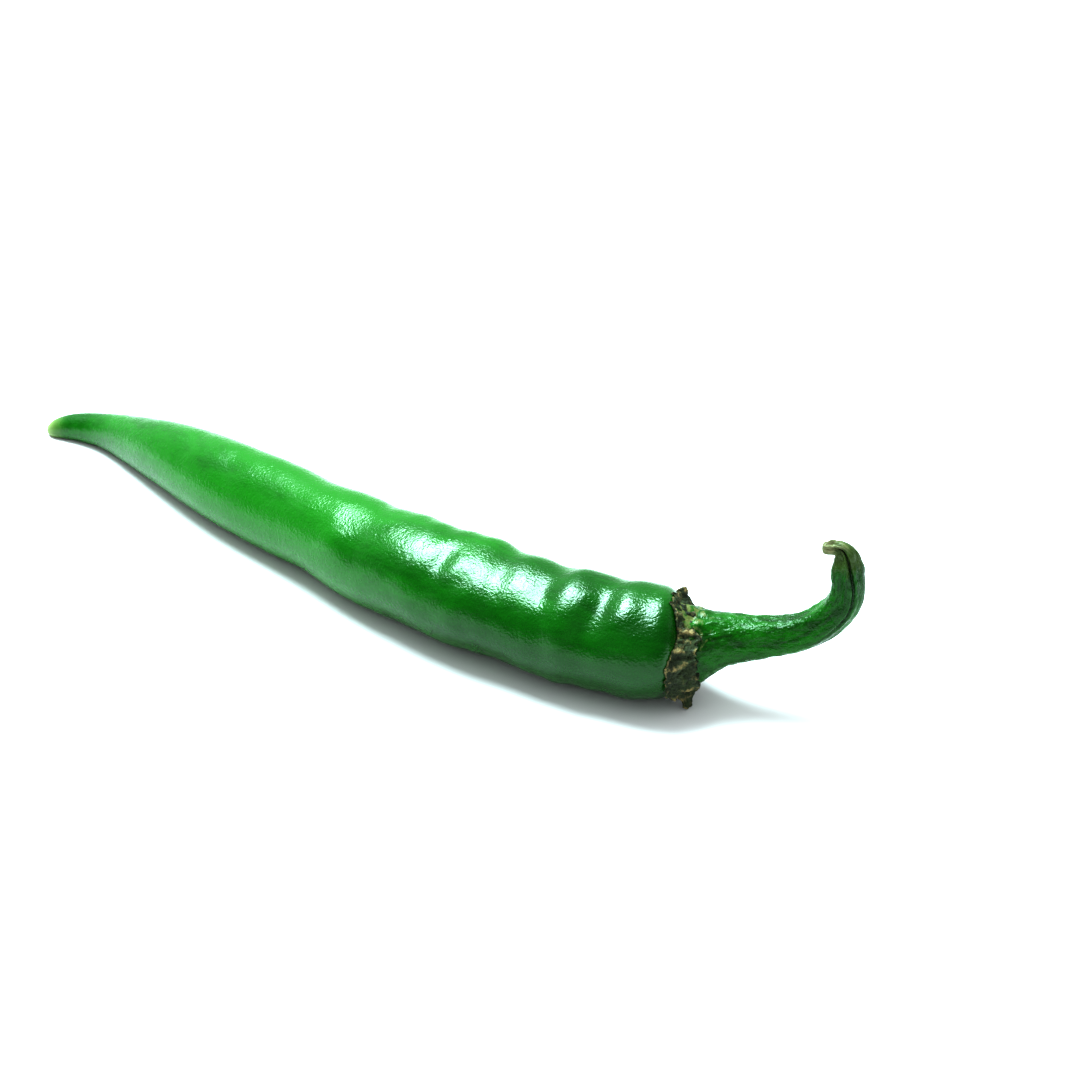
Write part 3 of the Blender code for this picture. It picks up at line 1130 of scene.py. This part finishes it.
def light_surroundings(settings):
    """Surroundings that are plain white where they are seen.

    Reflections see them bright behind the object, dim in front of it and glowing at the horizon.
    All their other light is soft, and stronger from above.
    """
    world = bpy.data.worlds.new("white_surroundings")
    world.use_nodes = True
    bpy.context.scene.world = world
    make = NodeMaker(world.node_tree)
    output = world.node_tree.nodes["World Output"]
    mirrored = world.node_tree.nodes["Background"]
    direction = make.add("ShaderNodeTexCoord").outputs["Generated"]
    backwards = (-math.sin(settings.view_azimuth), math.cos(settings.view_azimuth), 0.1)
    behind = make.add(
        "ShaderNodeVectorMath", {0: direction, 1: backwards}, operation="DOT_PRODUCT"
    ).outputs["Value"]
    strength = make.span(behind, -0.2, 0.8, settings.front_fill, settings.back_fill)
    height = make.add("ShaderNodeSeparateXYZ", {0: direction}).outputs["Z"]
    low = make.span(height, -0.02, 0.28, settings.low_fill, 0.0)
    mirrored.inputs["Color"].default_value = (0.86, 1.0, 1.0, 1.0)
    make.put(mirrored.inputs["Strength"], make.math("MAXIMUM", strength, low))
    fill = make.span(height, -0.2, 1.0, 0.70 * settings.soft_fill, 1.30 * settings.soft_fill)
    soft = make.add("ShaderNodeBackground", {"Color": (0.90, 0.98, 1.0), "Strength": fill})
    seen = make.add("ShaderNodeBackground", {"Color": (1.0, 1.0, 1.0), "Strength": 1.0})
    ray = make.add("ShaderNodeLightPath")
    unseen = make.add(
        "ShaderNodeMixShader",
        {0: ray.outputs["Is Glossy Ray"], 1: soft.outputs[0], 2: mirrored.outputs[0]},
    )
    mixed = make.add(
        "ShaderNodeMixShader",
        {0: ray.outputs["Is Camera Ray"], 1: unseen.outputs[0], 2: seen.outputs[0]},
    )
    make.put(output.inputs["Surface"], mixed.outputs[0])


def add_camera(settings):
    data = bpy.data.cameras.new("camera")
    data.lens = settings.lens
    data.sensor_width = 36.0
    data.clip_start = 0.01
    camera = add_object("camera", data)
    flat = math.cos(settings.view_elevation)
    back = Vector((
        flat * math.sin(settings.view_azimuth),
        -flat * math.cos(settings.view_azimuth),
        math.sin(settings.view_elevation),
    ))
    camera.location = Vector(settings.view_target) + back * settings.view_distance
    camera.rotation_euler = back.to_track_quat("Z", "Y").to_euler()
    bpy.context.scene.camera = camera


class CHILLI_OT_add_stage(ChilliOperator, bpy.types.Operator):
    """Add the pale floor, the soft light, the white surroundings and the camera"""

    bl_idname = "chilli.add_stage"
    bl_label = "Add Stage"

    def execute(self, context):
        settings = context.scene.chilli_stage
        add_floor(settings)
        add_key_light(settings)
        light_surroundings(settings)
        add_camera(settings)
        context.scene.view_settings.view_transform = "Standard"
        context.scene.view_settings.gamma = settings.gamma
        return {"FINISHED"}


class CHILLI_PT_panel(bpy.types.Panel):
    bl_idname = "CHILLI_PT_panel"
    bl_label = "Chilli Pepper"
    bl_space_type = "VIEW_3D"
    bl_region_type = "UI"
    bl_category = "Chilli"

    def draw(self, context):
        for title, group, operator in (
            ("Pod", context.scene.chilli_pod, "chilli.add_pod"),
            ("Calyx", context.scene.chilli_calyx, "chilli.add_calyx"),
            ("Stem", context.scene.chilli_stem, "chilli.add_stem"),
            ("Stage", context.scene.chilli_stage, "chilli.add_stage"),
        ):
            box = self.layout.box()
            box.label(text=title)
            for name in group.__annotations__:
                box.prop(group, name)
            box.operator(operator)


CLASSES = (
    PodSettings,
    CalyxSettings,
    StemSettings,
    StageSettings,
    CHILLI_OT_add_pod,
    CHILLI_OT_add_calyx,
    CHILLI_OT_add_stem,
    CHILLI_OT_add_stage,
    CHILLI_PT_panel,
)


def register():
    for kind in CLASSES:
        bpy.utils.register_class(kind)
    bpy.types.Scene.chilli_pod = PointerProperty(type=PodSettings)
    bpy.types.Scene.chilli_calyx = PointerProperty(type=CalyxSettings)
    bpy.types.Scene.chilli_stem = PointerProperty(type=StemSettings)
    bpy.types.Scene.chilli_stage = PointerProperty(type=StageSettings)


def unregister():
    del bpy.types.Scene.chilli_stage
    del bpy.types.Scene.chilli_stem
    del bpy.types.Scene.chilli_calyx
    del bpy.types.Scene.chilli_pod
    for kind in reversed(CLASSES):
        bpy.utils.unregister_class(kind)


def main():
    register()
    bpy.ops.chilli.add_stage()
    bpy.ops.chilli.add_pod()
    bpy.ops.chilli.add_calyx()
    bpy.ops.chilli.add_stem()


if __name__ == "__main__":
    main()
